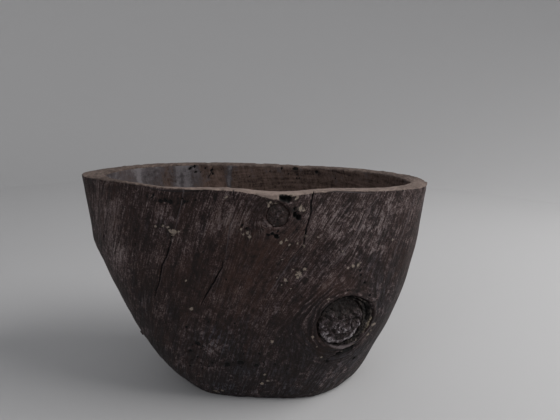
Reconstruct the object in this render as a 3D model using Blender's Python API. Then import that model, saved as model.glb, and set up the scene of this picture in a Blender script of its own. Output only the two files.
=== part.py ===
"""Carved wooden bowl: a deep, narrow oval vessel hewn from one block of dark hardwood.

The body is one piece of wood. The dead knots in its wall are not: each grew as a
branch that the trunk later closed over, so each is a separate stub in a socket.
Metres, +Z up. The origin is on the table under the middle of the bowl, +X runs along
the bowl's length and -Y is the side with the knots.
"""

from math import atan2, cos, exp, hypot, pi, sin

import bmesh
import bpy
from mathutils import Matrix, Vector

# ---------------------------------------------------------------- driving dimensions
MM = 0.001
HEIGHT = 0.218
FLOOR_THICKNESS = 0.022
LIP_ROUNDING = 0.0015
FIT_GAP = 0.0003          # clearance between a knot and its socket
# Rings of the dished floor: reach from its middle, and rise towards its edge.
FLOOR_RINGS = ((0.62, 0.35), (0.25, 0.0))
# Rings over the lip: share of its width, and drop as a share of its rounding.
LIP_RINGS = ((0.03, 0.3), (0.10, 0.0), (0.90, 0.0), (0.97, 0.3))

# Plan outlines, in millimetres, anticlockwise seen from above, starting at the left end.
# Only their shape counts: LEVELS and CAVITY_LEVELS below set how far they reach.
RIM_OUTLINE = [
    (-171, -13), (-146, -43), (-100, -69), (-50, -82), (2, -88), (50, -84), (92, -73),
    (138, -53), (159, -38), (171, -11), (167, 27), (136, 62), (78, 84), (8, 92),
    (-62, 88), (-124, 67), (-159, 30),
]
FOOT_OUTLINE = [
    (-74, 2), (-69, -30), (-52, -50), (-20, -57), (30, -57), (66, -50), (92, -30),
    (108, 2), (94, 28), (54, 43), (6, 45), (-38, 41), (-66, 24),
]
MOUTH_OUTLINE = [
    (-149, -13), (-131, -42), (-106, -60), (-68, -73), (-4, -75), (33, -73), (86, -61),
    (130, -40), (155, -11), (148, 22), (124, 51), (74, 72), (8, 79), (-60, 75), (-114, 57),
    (-142, 25),
]

# Outer wall from the foot up to the rim: share of the height, then how far the wall
# reaches to the left, right, front and back, in millimetres.
LEVELS = [
    (0.00, -72, 114, -57, 43),
    (0.03, -79, 120, -61, 47),
    (0.08, -91, 126, -65, 51),
    (0.17, -107, 134, -71, 58),
    (0.32, -128, 148, -78, 67),
    (0.50, -146, 160, -84, 77),
    (0.66, -161, 166, -86, 84),
    (0.75, -165, 168, -87, 87),
    (0.87, -168, 169, -88, 90),
    (1.00, -171, 171, -88, 92),
]
# Cavity from the rim down to the floor, in the same columns.
CAVITY_LEVELS = [
    (1.00, -149, 155, -74, 79),
    (0.86, -147, 151, -73, 77),
    (0.66, -138, 143, -69, 71),
    (0.46, -121, 128, -61, 61),
    (0.29, -99, 108, -50, 49),
    (0.19, -75, 86, -39, 38),
    (0.13, -46, 56, -25, 23),
]

SEGMENTS = 84             # points around each ring
OUTER_RINGS = 19
CAVITY_RINGS = 13

# Knots: centre on the outer wall, direction of the branch out of the wall, width and
# length of the oval face, and depth of the stub.
MAIN_KNOT = dict(centre=(0.085, -0.0726, 0.0955), axis=(0.36, -0.92, -0.16),
                 width=0.045, length=0.051, depth=0.014)
RIM_KNOT = dict(centre=(0.023, -0.0915, 0.200), axis=(0.03, -0.99, -0.05),
                width=0.019, length=0.021, depth=0.012)
PIN_KNOT = dict(centre=(-0.113, -0.0355, 0.058), axis=(-0.74, -0.48, -0.47),
                width=0.0055, length=0.0065, depth=0.010)
# Bark trapped around the main knot, as an oval that reaches further on the right.
MAIN_BARK = dict(width=0.060, length=0.058, depth=0.010)
MAIN_BARK_SHIFT = 0.006
PIN_KNOT_PROUD = 0.0015   # the small stub stands out of the wall
STUB_TAPER = 0.80         # width of a stub's inner end over its face
SOCKET_REACH = 0.015      # how far a cutter runs on outside the wall
KNOT_SIDES = 36
PIN_KNOT_SIDES = 16
# The wood swells around a knot: which knot, how far out, and over what distance.
SWELLINGS = [(RIM_KNOT, 0.005, 0.026), (MAIN_KNOT, 0.002, 0.045)]

COLOURS = {               # base colour, roughness
    "bowl_body": ((0.030, 0.023, 0.021, 1.0), 0.72),
    "main_knot_core": ((0.016, 0.015, 0.016, 1.0), 0.60),
    "main_knot_bark": ((0.022, 0.016, 0.013, 1.0), 0.90),
    "rim_knot_core": ((0.033, 0.022, 0.017, 1.0), 0.70),
    "pin_knot": ((0.018, 0.013, 0.011, 1.0), 0.75),
}

BOWL_COLLECTION = "carved_bowl"
CUTTER_COLLECTION = "bowl_cutters"


# ---------------------------------------------------------------- scene and materials
def clear_scene():
    """Remove whatever objects the file opened with."""
    for obj in list(bpy.data.objects):
        bpy.data.objects.remove(obj)


def new_collection(name):
    collection = bpy.data.collections.new(name)
    bpy.context.scene.collection.children.link(collection)
    return collection


def wood_material(name):
    """Dark weathered wood in the colour and roughness of one sub-part."""
    colour, roughness = COLOURS[name]
    material = bpy.data.materials.new(name + "_wood")
    material.use_nodes = True
    shader = material.node_tree.nodes["Principled BSDF"]
    shader.inputs["Base Color"].default_value = colour
    shader.inputs["Roughness"].default_value = roughness
    shader.inputs["Metallic"].default_value = 0.0
    return material


def add_part(name, mesh, collection):
    """A visible sub-part, smooth on its round faces."""
    mesh.materials.append(wood_material(name))
    mesh.shade_smooth()
    mesh.set_sharp_from_angle(angle=pi / 6)
    part = bpy.data.objects.new(name, mesh)
    collection.objects.link(part)
    return part


def add_cutter(name, mesh, collection):
    """A solid that only shapes other parts."""
    cutter = bpy.data.objects.new(name, mesh)
    cutter.hide_render = True
    cutter.display_type = 'WIRE'
    collection.objects.link(cutter)
    return cutter


def add_boolean(part, operation, cutter):
    boolean = part.modifiers.new(operation.lower() + "_" + cutter.name, 'BOOLEAN')
    boolean.operation = operation
    boolean.solver = 'EXACT'
    boolean.object = cutter


# ---------------------------------------------------------------- curves
def catmull_rom(p0, p1, p2, p3, t):
    """Point at t, from 0 to 1, on the smooth curve from p1 to p2."""
    return 0.5 * (2 * p1 + (p2 - p0) * t + (2 * p0 - 5 * p1 + 4 * p2 - p3) * t ** 2
                  + (3 * p1 - p0 - 3 * p2 + p3) * t ** 3)


def outline_radius(points, steps=12):
    """Outline as radius against angle, measured in a box whose half sides are 1."""
    count = len(points)
    curve = []
    for i in range(count):
        span = [Vector(points[(i + k) % count]) for k in (-1, 0, 1, 2)]
        curve += [catmull_rom(*span, step / steps) for step in range(steps)]
    low = Vector((min(p.x for p in curve), min(p.y for p in curve)))
    high = Vector((max(p.x for p in curve), max(p.y for p in curve)))
    middle = (low + high) / 2
    half = (high - low) / 2
    polar = []
    for point in curve:
        x = (point.x - middle.x) / half.x
        y = (point.y - middle.y) / half.y
        polar.append((atan2(y, x), hypot(x, y)))
    polar.sort()
    return polar


def radius_at(polar, angle):
    """Radius of an outline at an angle from -pi to pi."""
    closed = [(polar[-1][0] - 2 * pi, polar[-1][1])] + polar
    closed.append((polar[0][0] + 2 * pi, polar[0][1]))
    for (a0, r0), (a1, r1) in zip(closed, closed[1:]):
        if a0 <= angle < a1:
            return r0 + (r1 - r0) * (angle - a0) / (a1 - a0)
    return closed[-1][1]


def level_at(levels, position):
    """Row of a level table at a position counted in rows, smooth between the rows."""
    last = len(levels) - 1
    i = min(int(position), last - 1)
    span = [levels[min(max(i + k, 0), last)] for k in (-1, 0, 1, 2)]
    return [catmull_rom(*column, position - i) for column in zip(*span)]


# ---------------------------------------------------------------- lofts
def section(radii, row, height):
    """One ring of the loft: an outline stretched to the reach that a row gives."""
    left, right, front, back = (MM * value for value in row[1:])
    middle_x, middle_y = (left + right) / 2, (front + back) / 2
    half_x, half_y = (right - left) / 2, (back - front) / 2
    ring = []
    for i, radius in enumerate(radii):
        angle = 2 * pi * i / SEGMENTS - pi
        ring.append(Vector((middle_x + half_x * radius * cos(angle),
                            middle_y + half_y * radius * sin(angle), height)))
    return ring


def swell(point):
    """Push a point of the outer wall out where a knot lies behind it."""
    pushed = point.copy()
    for knot, rise, reach in SWELLINGS:
        distance = (point - Vector(knot["centre"])).length
        out = Vector(knot["axis"])
        out.z = 0
        pushed += out.normalized() * rise * exp(-(distance / reach) ** 2)
    return pushed


def blended_radii(low_outline, high_outline, share):
    radii = []
    for i in range(SEGMENTS):
        angle = 2 * pi * i / SEGMENTS - pi
        low = radius_at(low_outline, angle)
        high = radius_at(high_outline, angle)
        radii.append(low + (high - low) * share)
    return radii


def outer_rings():
    """Rings of the outer wall, from the foot to the underside of the lip's rounding."""
    foot = outline_radius(FOOT_OUTLINE)
    rim = outline_radius(RIM_OUTLINE)
    rings = []
    for i in range(OUTER_RINGS):
        row = level_at(LEVELS, i * (len(LEVELS) - 1) / (OUTER_RINGS - 1))
        share = row[0]
        ring = section(blended_radii(foot, rim, share), row,
                       share * (HEIGHT - LIP_ROUNDING))
        rings.append([swell(point) for point in ring])
    return rings


def cavity_rings():
    """Rings of the cavity, from the lip's rounding down to the flat of the floor."""
    oval = [(-pi, 1.0), (0.0, 1.0)]
    mouth = outline_radius(MOUTH_OUTLINE)
    lowest = CAVITY_LEVELS[-1][0]
    rings = []
    for i in range(CAVITY_RINGS):
        row = level_at(CAVITY_LEVELS, i * (len(CAVITY_LEVELS) - 1) / (CAVITY_RINGS - 1))
        share = (row[0] - lowest) / (1 - lowest)
        rings.append(section(blended_radii(oval, mouth, share), row,
                             row[0] * (HEIGHT - LIP_ROUNDING)))
    edge = rings[-1]
    middle = sum(edge, Vector()) / SEGMENTS
    middle.z = FLOOR_THICKNESS
    for reach, rise in FLOOR_RINGS:
        ring = []
        for point in edge:
            inner = middle.lerp(point, reach)
            inner.z = FLOOR_THICKNESS + rise * (edge[0].z - FLOOR_THICKNESS)
            ring.append(inner)
        rings.append(ring)
    return rings


def lip_rings(outer, mouth):
    """Rings over the lip, from the outer wall's last ring to the cavity's first."""
    rings = []
    for across, drop in LIP_RINGS:
        ring = [a.lerp(b, across) for a, b in zip(outer, mouth)]
        for point in ring:
            point.z = HEIGHT - drop * LIP_ROUNDING
        rings.append(ring)
    return rings


def loft(name, rings):
    """Closed solid through rings of equal length, capped at both ends."""
    bm = bmesh.new()
    loops = [[bm.verts.new(point) for point in ring] for ring in rings]
    for below, above in zip(loops, loops[1:]):
        for i in range(SEGMENTS):
            j = (i + 1) % SEGMENTS
            bm.faces.new((below[i], below[j], above[j], above[i]))
    bm.faces.new(reversed(loops[0]))
    bm.faces.new(loops[-1])
    bmesh.ops.recalc_face_normals(bm, faces=bm.faces)
    mesh = bpy.data.meshes.new(name)
    bm.to_mesh(mesh)
    bm.free()
    return mesh


# ---------------------------------------------------------------- knots
def knot_frame(knot, shift=0.0):
    """Local frame of a knot: Z out of the wall along the branch, Y up the wall."""
    out = Vector(knot["axis"]).normalized()
    side = Vector((0, 0, 1)).cross(out).normalized()
    up = out.cross(side)
    frame = Matrix((side, up, out)).transposed().to_4x4()
    frame.translation = Vector(knot["centre"]) + shift * side
    return frame


def stub_mesh(name, frame, width, length, depth, proud, sides):
    """Tapered oval stub from depth inside the wall to proud outside it."""
    total = depth + proud
    taper_per_length = (1 - STUB_TAPER) / depth
    outer_scale = 1 + taper_per_length * proud
    bm = bmesh.new()
    bmesh.ops.create_cone(bm, cap_ends=True, segments=sides, radius1=STUB_TAPER / 2,
                          radius2=outer_scale / 2, depth=total)
    bmesh.ops.translate(bm, verts=bm.verts, vec=(0, 0, (proud - depth) / 2))
    bmesh.ops.scale(bm, verts=bm.verts, vec=(width, length, 1))
    bmesh.ops.transform(bm, verts=bm.verts, matrix=frame)
    mesh = bpy.data.meshes.new(name)
    bm.to_mesh(mesh)
    bm.free()
    return mesh


def socket_mesh(name, frame, width, length, depth, sides):
    """The space that a stub needs: the stub and its clearance, open to the outside."""
    return stub_mesh(name, frame, width + 2 * FIT_GAP, length + 2 * FIT_GAP,
                     depth + FIT_GAP, SOCKET_REACH, sides)


# ---------------------------------------------------------------- the bowl
def build_bowl():
    clear_scene()
    parts = new_collection(BOWL_COLLECTION)
    cutters = new_collection(CUTTER_COLLECTION)

    outer = outer_rings()
    cavity = cavity_rings()
    lip = lip_rings(outer[-1], cavity[0])
    body = add_part("bowl_body", loft("bowl_body", outer + lip + cavity), parts)
    # The solid block that the cavity was hollowed from: its surface trims the stubs flush.
    block = add_cutter("outer_block", loft("outer_block", outer + lip[:2]), cutters)

    def cut_socket(name, frame, width, length, depth, sides):
        mesh = socket_mesh(name, frame, width, length, depth, sides)
        socket = add_cutter(name, mesh, cutters)
        add_boolean(body, 'DIFFERENCE', socket)
        return socket

    # Main knot: a dark core in a collar of trapped bark, thicker on its right.
    knot = MAIN_KNOT
    core = (knot_frame(knot), knot["width"], knot["length"], knot["depth"])
    core_mesh = stub_mesh("main_knot_core", *core, SOCKET_REACH, KNOT_SIDES)
    core_part = add_part("main_knot_core", core_mesh, parts)
    add_boolean(core_part, 'INTERSECT', block)
    core_socket = cut_socket("main_core_socket", *core, KNOT_SIDES)

    bark = (knot_frame(knot, MAIN_BARK_SHIFT), MAIN_BARK["width"], MAIN_BARK["length"],
            MAIN_BARK["depth"])
    bark_mesh = stub_mesh("main_knot_bark", *bark, SOCKET_REACH, KNOT_SIDES)
    bark_part = add_part("main_knot_bark", bark_mesh, parts)
    add_boolean(bark_part, 'INTERSECT', block)
    add_boolean(bark_part, 'DIFFERENCE', core_socket)
    cut_socket("main_bark_socket", *bark, KNOT_SIDES)

    # Rim knot: a smaller stub in the swelling under the front of the rim.
    knot = RIM_KNOT
    stub = (knot_frame(knot), knot["width"], knot["length"], knot["depth"])
    rim_mesh = stub_mesh("rim_knot_core", *stub, SOCKET_REACH, KNOT_SIDES)
    rim_part = add_part("rim_knot_core", rim_mesh, parts)
    add_boolean(rim_part, 'INTERSECT', block)
    cut_socket("rim_knot_socket", *stub, KNOT_SIDES)

    # Pin knot: the stub of a twig, standing a little out of the wall at the left.
    knot = PIN_KNOT
    stub = (knot_frame(knot), knot["width"], knot["length"], knot["depth"])
    pin_mesh = stub_mesh("pin_knot", *stub, PIN_KNOT_PROUD, PIN_KNOT_SIDES)
    add_part("pin_knot", pin_mesh, parts)
    cut_socket("pin_knot_socket", *stub, PIN_KNOT_SIDES)


build_bowl()
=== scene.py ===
"""Looks of the carved wooden bowl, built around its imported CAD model.

Metres, in the CAD's frame: +Z up, origin on the table under the bowl, -Y towards the
viewer. Lengths given in millimetres are multiplied by MM. A place on the front or the
back of the wall is given by its X and Z.
"""

from math import cos, pi, radians, sin

import bpy
import numpy as np
from mathutils import Matrix, Vector
from mathutils.bvhtree import BVHTree


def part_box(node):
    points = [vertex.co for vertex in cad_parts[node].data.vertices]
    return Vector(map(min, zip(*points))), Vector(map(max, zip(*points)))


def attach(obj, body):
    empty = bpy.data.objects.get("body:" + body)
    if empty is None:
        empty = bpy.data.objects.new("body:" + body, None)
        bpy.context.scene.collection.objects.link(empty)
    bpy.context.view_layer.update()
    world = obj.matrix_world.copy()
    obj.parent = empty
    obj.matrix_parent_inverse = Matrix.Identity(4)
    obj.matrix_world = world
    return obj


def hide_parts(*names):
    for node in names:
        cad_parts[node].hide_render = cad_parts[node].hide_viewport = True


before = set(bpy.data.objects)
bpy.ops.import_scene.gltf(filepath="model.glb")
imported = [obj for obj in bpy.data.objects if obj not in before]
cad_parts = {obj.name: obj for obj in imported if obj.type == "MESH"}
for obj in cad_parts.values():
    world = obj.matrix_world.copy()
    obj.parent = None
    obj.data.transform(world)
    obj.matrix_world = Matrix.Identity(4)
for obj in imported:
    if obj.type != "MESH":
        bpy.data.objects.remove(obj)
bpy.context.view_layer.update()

# ---------------------------------------------------------------- the bowl's form
MM = 0.001
BODY_LOW, BODY_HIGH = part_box("bowl_body")
HEIGHT = BODY_HIGH.z
FLOOR_THICKNESS = 0.022

# Still to be replaced by a design, because another program's output is behind them: all of
# RIM_RISE, many places in CRACKS, HOLES, FLECKS and ZONES, and the outlines of the rim and
# the mouth.

# Plan outlines of the rim, foot and mouth, in millimetres, anticlockwise from the left end.
RIM_OUTLINE = [
    (-171, -13), (-146, -43), (-100, -69), (-50, -82), (2, -88), (50, -84), (92, -73),
    (138, -53), (159, -38), (171, -11), (167, 27), (136, 62), (78, 84), (8, 92),
    (-62, 88), (-124, 67), (-159, 30),
]
FOOT_OUTLINE = [
    (-74, 2), (-69, -30), (-52, -50), (-20, -57), (30, -57), (66, -50), (92, -30),
    (108, 2), (94, 28), (54, 43), (6, 45), (-38, 41), (-66, 24),
]
MOUTH_OUTLINE = [
    (-149, -13), (-131, -42), (-106, -60), (-68, -73), (-4, -75), (33, -73), (86, -61),
    (130, -40), (155, -11), (148, 22), (124, 51), (74, 72), (8, 79), (-60, 75), (-114, 57),
    (-142, 25),
]
# Share of the height, then the wall's reach to the left, right, front and back.
LEVELS = [
    (0.00, -72, 114, -57, 43),
    (0.03, -79, 120, -61, 47),
    (0.08, -91, 126, -65, 51),
    (0.17, -107, 134, -71, 58),
    (0.32, -128, 148, -78, 67),
    (0.50, -146, 160, -84, 77),
    (0.66, -161, 166, -86, 84),
    (0.75, -165, 168, -87, 87),
    (0.87, -168, 169, -88, 90),
    (1.00, -171, 171, -88, 92),
]
CAVITY_LEVELS = [
    (1.00, -149, 155, -74, 79),
    (0.86, -147, 151, -73, 77),
    (0.66, -138, 143, -69, 71),
    (0.46, -121, 128, -61, 61),
    (0.29, -99, 108, -50, 49),
    (0.19, -75, 86, -39, 38),
    (0.13, -46, 56, -25, 23),
]

COLUMNS = 576             # points round the outer wall, a multiple of 64
FRONT_DENSITY = 0.28      # how much closer the columns stand in front than behind
END_DENSITY = 0.12        # how much wider they stand round the pointed ends
OUTER_STEP = 1.15 * MM    # spacing of the rings up the outer wall
CAVITY_STEP = 2.2 * MM
LIP_DROP = 0.0007         # how far the lip's rounded edges come down
RIM_WAVE = 0.5 * MM       # the rim isn't quite level
# Rise of the front rim above its level: X and rise in millimetres.
RIM_RISE = [(-160, 0.0), (-118, 1.7), (-94, 1.4), (-76, 0.8), (-58, 0.9), (-40, 1.6),
            (-24, 2.2), (-8, 1.8), (12, 0.2), (22, -0.3), (42, 0.1), (56, 1.3), (70, 1.9),
            (104, 1.0), (124, 0.4), (150, 0.2), (170, 0.0)]

# Knots, as in the CAD: centre on the wall, direction out of it, oval face.
MAIN_KNOT = dict(centre=(0.085, -0.0726, 0.0955), axis=(0.36, -0.92, -0.16),
                 width=0.045, length=0.051)
MAIN_BARK = dict(width=0.060, length=0.057, shift=0.006)
CORE_DENT, BARK_DENT = 0.06, 0.16    # the outlines are flatter at their upper right
DENT_ANGLE, DENT_REACH = 1.05, 0.70
RIM_KNOT = dict(centre=(0.023, -0.0915, 0.200), axis=(0.03, -0.99, -0.05),
                width=0.019, length=0.021)
PIN_KNOT = dict(centre=(-0.113, -0.0355, 0.058), axis=(-0.74, -0.48, -0.47),
                width=0.0055, length=0.0065)
SWELLINGS = [(RIM_KNOT, 0.005, 0.026), (MAIN_KNOT, 0.002, 0.045)]
HIP = (dict(centre=(-0.160, -0.020, 0.151), axis=(-0.97, -0.25, 0.0)), 0.0018, 0.015)
# How far each knot turns the grain aside, and on which knots it does so.
GRAIN_KNOTS = [(MAIN_KNOT, 0.027), (RIM_KNOT, 0.012), (PIN_KNOT, 0.005)]
RECESS_DEPTH = 0.006      # socket round the main knot, filled by the core and the bark
RIM_RECESS_DEPTH = 0.005

# Lean of the grain, as tan of its angle from upright, against the distance round the
# front from its middle.
LEAN_PLACES = [-0.19, -0.06, 0.03, 0.09, 0.16]
LEAN_FRONT = [0.24, 0.28, 0.40, 0.52, 0.34]
LEAN_BACK = 0.28

# Drying cracks: side, half width and depth in millimetres, then X and Z along them.
CRACKS = [
    ("front", 0.75, 2.6, [(52, 218.3), (51, 210), (50, 200), (48, 189), (46, 178), (45, 172),
                         (40, 167)]),
    ("front", 0.4, 0.7, [(40, 167), (34, 158), (29, 148), (22, 136), (14, 124)]),
    ("front", 0.4, 0.9, [(-55, 218.2), (-57, 209), (-60, 198), (-63, 187), (-67, 178)]),
    ("front", 0.75, 2.6, [(-66, 178), (-69, 168), (-74, 157), (-78, 147), (-81, 137),
                          (-84, 126), (-86, 114)]),
    ("front", 0.7, 1.6, [(-14, 218.2), (-14, 208)]),
    ("front", 0.45, 1.0, [(-14, 200), (-17, 184), (-20, 169), (-22, 158)]),
    ("front", 0.75, 2.4, [(-22, 158), (-24, 151), (-28, 144), (-32, 136), (-37, 127),
                          (-42, 118), (-44, 111)]),
    ("front", 0.4, 0.5, [(112, 216), (105, 205), (99, 193), (91, 179), (82, 166), (73, 152)]),
    ("front", 0.5, 0.8, [(150, 213), (145, 199), (140, 182), (134, 164), (129, 146)]),
    ("front", 0.5, 0.8, [(-96, 120), (-99, 104), (-97, 92)]),
    ("front", 1.6, -1.2, [(66, 79), (71, 73.5), (79, 69), (87, 66.5), (96, 67), (103, 71)]),
    ("front", 0.9, 1.6, [(70, 52), (78, 57), (90, 60), (104, 64)]),
    ("back", 1.1, 2.6, [(37, 211), (36, 206), (31, 186), (25, 166), (22, 148)]),
    ("back", 0.7, 1.4, [(-74, 212), (-76, 204), (-83, 184), (-88, 166)]),
    ("back", 0.8, 1.6, [(96, 190), (90, 168), (80, 146), (74, 122)]),
    ("back", 0.6, 1.2, [(-20, 150), (-28, 126), (-33, 104), (-40, 82)]),
    ("back", 0.7, 1.5, [(-104, 132), (-100, 108), (-92, 84)]),
    ("inside", 0.8, 1.5, [(60, 168), (57, 150), (52, 128), (50, 110)]),
    ("inside", 1.3, 1.5, [(-57, 214), (-59, 208), (-62, 201)]),
    ("front", 0.7, 1.2, [(-88, 216), (-76, 214.5), (-62, 215), (-46, 216.5), (-38, 216)]),
    ("front", 0.5, 1.0, [(56, 216), (72, 217), (90, 216), (108, 215.5)]),
]

# Holes left by decay and borers: side, X, Z, radius and depth in millimetres.
HOLES = [
    ("front", 28.0, 214.5, 3.9, 5.0), ("front", 32.0, 214.5, 2.6, 4.5),
    ("front", 37.5, 206.0, 1.5, 2.5), ("front", 37.0, 201.5, 2.6, 4.0),
    ("front", 40.0, 198.0, 2.8, 4.5), ("front", 24.0, 193.5, 1.1, 1.5),
    ("front", 15.0, 183.0, 1.4, 2.0), ("front", 18.5, 183.5, 1.5, 2.2),
    ("front", 22.5, 181.5, 2.0, 3.0), ("front", -2.5, 187.5, 1.6, 2.4),
    ("front", -6.5, 190.0, 1.3, 1.8), ("front", -76.0, 205.5, 2.0, 1.6),
    ("front", -72.0, 206.5, 1.8, 1.6), ("front", -67.5, 206.0, 2.0, 1.8),
    ("front", -48.0, 71.0, 2.4, 2.2), ("front", -59.0, 88.0, 1.5, 1.5),
    ("front", -57.0, 61.0, 1.7, 2.0), ("front", -58.0, 41.0, 1.3, 1.8),
    ("front", -47.0, 47.0, 1.2, 1.4), ("front", 97.0, 62.5, 4.2, 3.4),
    ("front", 90.5, 60.5, 4.8, 3.2), ("front", 84.0, 58.5, 3.8, 2.6),
    ("front", 103.0, 44.0, 2.4, 1.8), ("front", 73.0, 51.0, 2.0, 1.6),
    ("front", 111.0, 118.0, 1.8, 2.0), ("front", 104.0, 133.0, 1.6, 1.8),
    ("front", 99.0, 140.0, 1.4, 1.5), ("front", -22.0, 48.0, 2.6, 1.6),
    ("front", -9.0, 51.0, 3.4, 1.8), ("front", 6.0, 48.0, 2.4, 1.4),
    ("inside", -83.0, 213.5, 2.6, 2.2), ("inside", -78.0, 214.5, 2.2, 1.8),
    ("inside", -58.0, 210.0, 2.0, 2.4), ("inside", -57.5, 205.5, 1.5, 2.0),
    ("inside", 25.0, 214.5, 1.8, 1.6), ("inside", 40.0, 214.5, 2.0, 1.8),
    ("inside", 43.5, 214.0, 1.4, 1.4), ("inside", 66.0, 213.0, 2.0, 1.8),
    ("back", -46.0, 196.0, 2.4, 3.0), ("back", -41.0, 191.0, 1.6, 2.0),
    ("back", 70.0, 92.0, 2.2, 2.6), ("back", 8.0, 62.0, 1.7, 2.0),
    ("back", -70.0, 120.0, 1.5, 1.8), ("back", 112.0, 176.0, 1.7, 2.0),
]
# Clusters of small holes: side, X, Z, their spread across and up, and how many.
HOLE_CLUSTERS = [
    ("front", -66, 208, 13, 3.5, 22), ("front", -120, 150, 16, 26, 8),
    ("front", 20, 186, 12, 4, 8), ("front", -7, 49, 15, 4, 14), ("front", -50, 62, 7, 16, 10),
    ("front", 96, 136, 8, 10, 9), ("front", 45, 40, 22, 12, 10), ("front", -5, 110, 40, 40, 9),
    ("back", -30, 180, 30, 18, 12), ("back", 60, 110, 34, 40, 14), ("back", -70, 90, 22, 34, 9),
    ("inside", 30, 207, 34, 5, 9), ("inside", -76, 209, 10, 3, 5),
]
# Crumbs of pale dry residue caught in the grain: X, Z and radius in millimetres.
FLECKS = [
    (21, 209, 2.6), (16, 208, 1.8), (42, 206, 2.4), (45, 204, 1.6), (37, 214, 1.6),
    (34, 217, 2.2), (95, 151, 2.4), (90, 150.5, 1.8), (86, 150, 1.4), (43, 146, 2.2),
    (41, 143, 1.5), (46, 172, 1.6), (47, 180, 1.4), (41, 175, 1.3), (-2, 184, 1.9),
    (-7, 186, 1.5), (-5, 182, 1.2), (-75, 185, 2.0), (-71, 184, 1.6), (-65, 181, 2.2),
    (-61, 181, 1.5), (-66, 177, 1.5), (-56, 136, 1.3), (-53, 108, 1.6), (38, 151, 1.0),
    (26, 176, 1.7), (30, 178, 1.3), (33, 174, 1.0), (58, 179, 0.9), (-35, 7, 2.6),
    (-29, 9, 2.0), (21, 77, 1.5), (92, 64, 1.2), (98, 66, 1.1), (119, 83, 2.6),
    (114, 72, 2.0), (117, 76, 1.4), (36, 133, 0.9), (28, 160, 0.9), (12, 24, 1.4),
    (87, 61, 1.5), (97, 65, 1.9),
    (67, 58, 1.6), (58, 83, 1.6), (62, 70, 1.2), (-81, 184, 1.6), (-69, 182, 1.4),
    (0, 181, 1.4), (48, 151, 1.6), (31, 140, 1.5), (24, 143, 1.2), (28, 136, 1.3),
    (-20, 212, 1.2), (70, 121, 1.6), (17, 212, 2.2),
    (17, 28, 1.8), (14, 36, 1.5), (128, 171, 1.0), (80, 166, 1.1),
]
CRACK_FAR = 6.0           # half widths: beyond this a vertex is on no crack
CRACK_MARGIN = 8 * MM     # how far round a crack its vertices are looked for
CRACK_TAPER = 14 * MM     # length over which a crack narrows towards its ends
OVER_LIP = 5              # how much further a place above the rim runs over the lip
FLECK_SPREAD = 1.35
LEAN_PIVOT = 0.1          # height up the wall at which the grain's lean moves nothing
MAIN_KNOT_REACH, RIM_KNOT_REACH = 0.035, 0.012    # either way along a knot's axis
NO_KNOT = 9.0             # share of a knot's reach given to vertices away from it
RIM_FADE = 0.05           # how far below the rim its unevenness dies out

# Soft patches on the front: X, Z, their reach across and up, and how much lighter, warmer
# and cooler it is painted there. Some are the wood's own tone; the light, cool patches high on
# the right are painted window light, the cool ones lower down partly painted grey-blue sheen,
# and the dark patch at X -7, Z 49 painted shade in a hollow.
ZONES = [
    (-124, 209, 7, 8, -0.8, 0.0, 0.0), (72, 134, 18, 12, 0.15, 0.9, 0.0),
    (120, 112, 15, 32, 0.05, 0.0, 0.5), (-68, 208, 22, 6, -0.35, 0.2, 0.0),
    (-60, 140, 22, 14, -0.35, 0.0, 0.0), (4, 92, 26, 14, -0.35, 0.1, 0.1),
    (-132, 203, 24, 20, 0.20, 0.30, 0.0), (-129, 154, 17, 22, 0.55, 0.0, 0.15),
    (-102, 188, 9, 30, -0.40, 0.1, 0.0), (-90, 171, 6, 10, -0.60, 0.0, 0.0),
    (-97, 108, 22, 42, -0.45, 0.1, 0.0), (-60, 192, 18, 20, 0.35, 0.2, 0.0),
    (-8, 130, 34, 34, -0.15, 1.0, 0.0), (13, 170, 28, 22, 0.0, 1.0, 0.0),
    (42, 187, 9, 9, 0.0, 0.9, 0.0), (-30, 98, 30, 22, -0.15, 0.3, 0.1),
    (-30, 74, 20, 14, 0.20, 0.0, 0.9), (-26, 15, 18, 8, 0.30, 0.0, 1.0),
    (-7, 49, 20, 7, -0.60, 0.0, 0.3), (-5, 38, 24, 5, 0.25, 0.0, 0.8),
    (12, 12, 42, 9, -0.20, 0.0, 0.3),
    (86, 190, 34, 26, 0.75, 0.0, 0.25), (128, 196, 20, 26, 0.35, 0.0, 0.05),
    (-10, 192, 34, 16, 0.65, 0.6, 0.0), (-125, 190, 20, 25, 0.35, 0.2, 0.0),
    (70, 142, 28, 18, 0.15, 0.0, 0.1), (112, 152, 20, 30, -0.10, 0.0, 0.4),
    (50, 96, 10, 28, 0.30, 0.0, 0.3), (97, 44, 28, 13, 0.20, 0.0, 0.8),
    (40, 58, 13, 24, -0.35, 0.0, 0.0), (62, 20, 30, 12, -0.10, 0.0, 0.6),
    (135, 110, 14, 26, -0.15, 0.0, 0.5), (-112, 66, 14, 22, -0.10, 0.0, 0.1),
]


# ---------------------------------------------------------------- noise
def lattice(ix, iy, iz, seed):
    """A repeatable value from -1 to 1 for each corner of a cubic lattice."""
    h = (ix * 73856093) ^ (iy * 19349663) ^ (iz * 83492791) ^ (seed * 6542989)
    h = (h ^ (h >> 13)) * 1274126177
    return ((h ^ (h >> 16)) & 0xFFFF) / 32767.5 - 1


def noise(x, y=0.0, z=0.0, seed=0):
    """Smooth noise, about -0.8 to 0.8, with one lattice cell per unit."""
    x, y, z = np.broadcast_arrays(x, y, z)
    cells = [np.floor(v).astype(np.int64) for v in (x, y, z)]
    eased = []
    for value, cell in zip((x, y, z), cells):
        f = value - cell
        eased.append(f * f * f * (f * (f * 6 - 15) + 10))
    total = np.zeros(x.shape)
    for corner in np.ndindex(2, 2, 2):
        weight = np.ones(x.shape)
        for step, f in zip(corner, eased):
            weight = weight * (f if step else 1 - f)
        total += weight * lattice(*(c + step for c, step in zip(cells, corner)), seed)
    return total


def rough_noise(x, y=0.0, z=0.0, seed=0, octaves=3):
    """Noise with finer noise laid over it, each layer half as strong."""
    return sum(noise(x * 2 ** k, y * 2 ** k, z * 2 ** k, seed + k) / 2 ** k
               for k in range(octaves))


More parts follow.
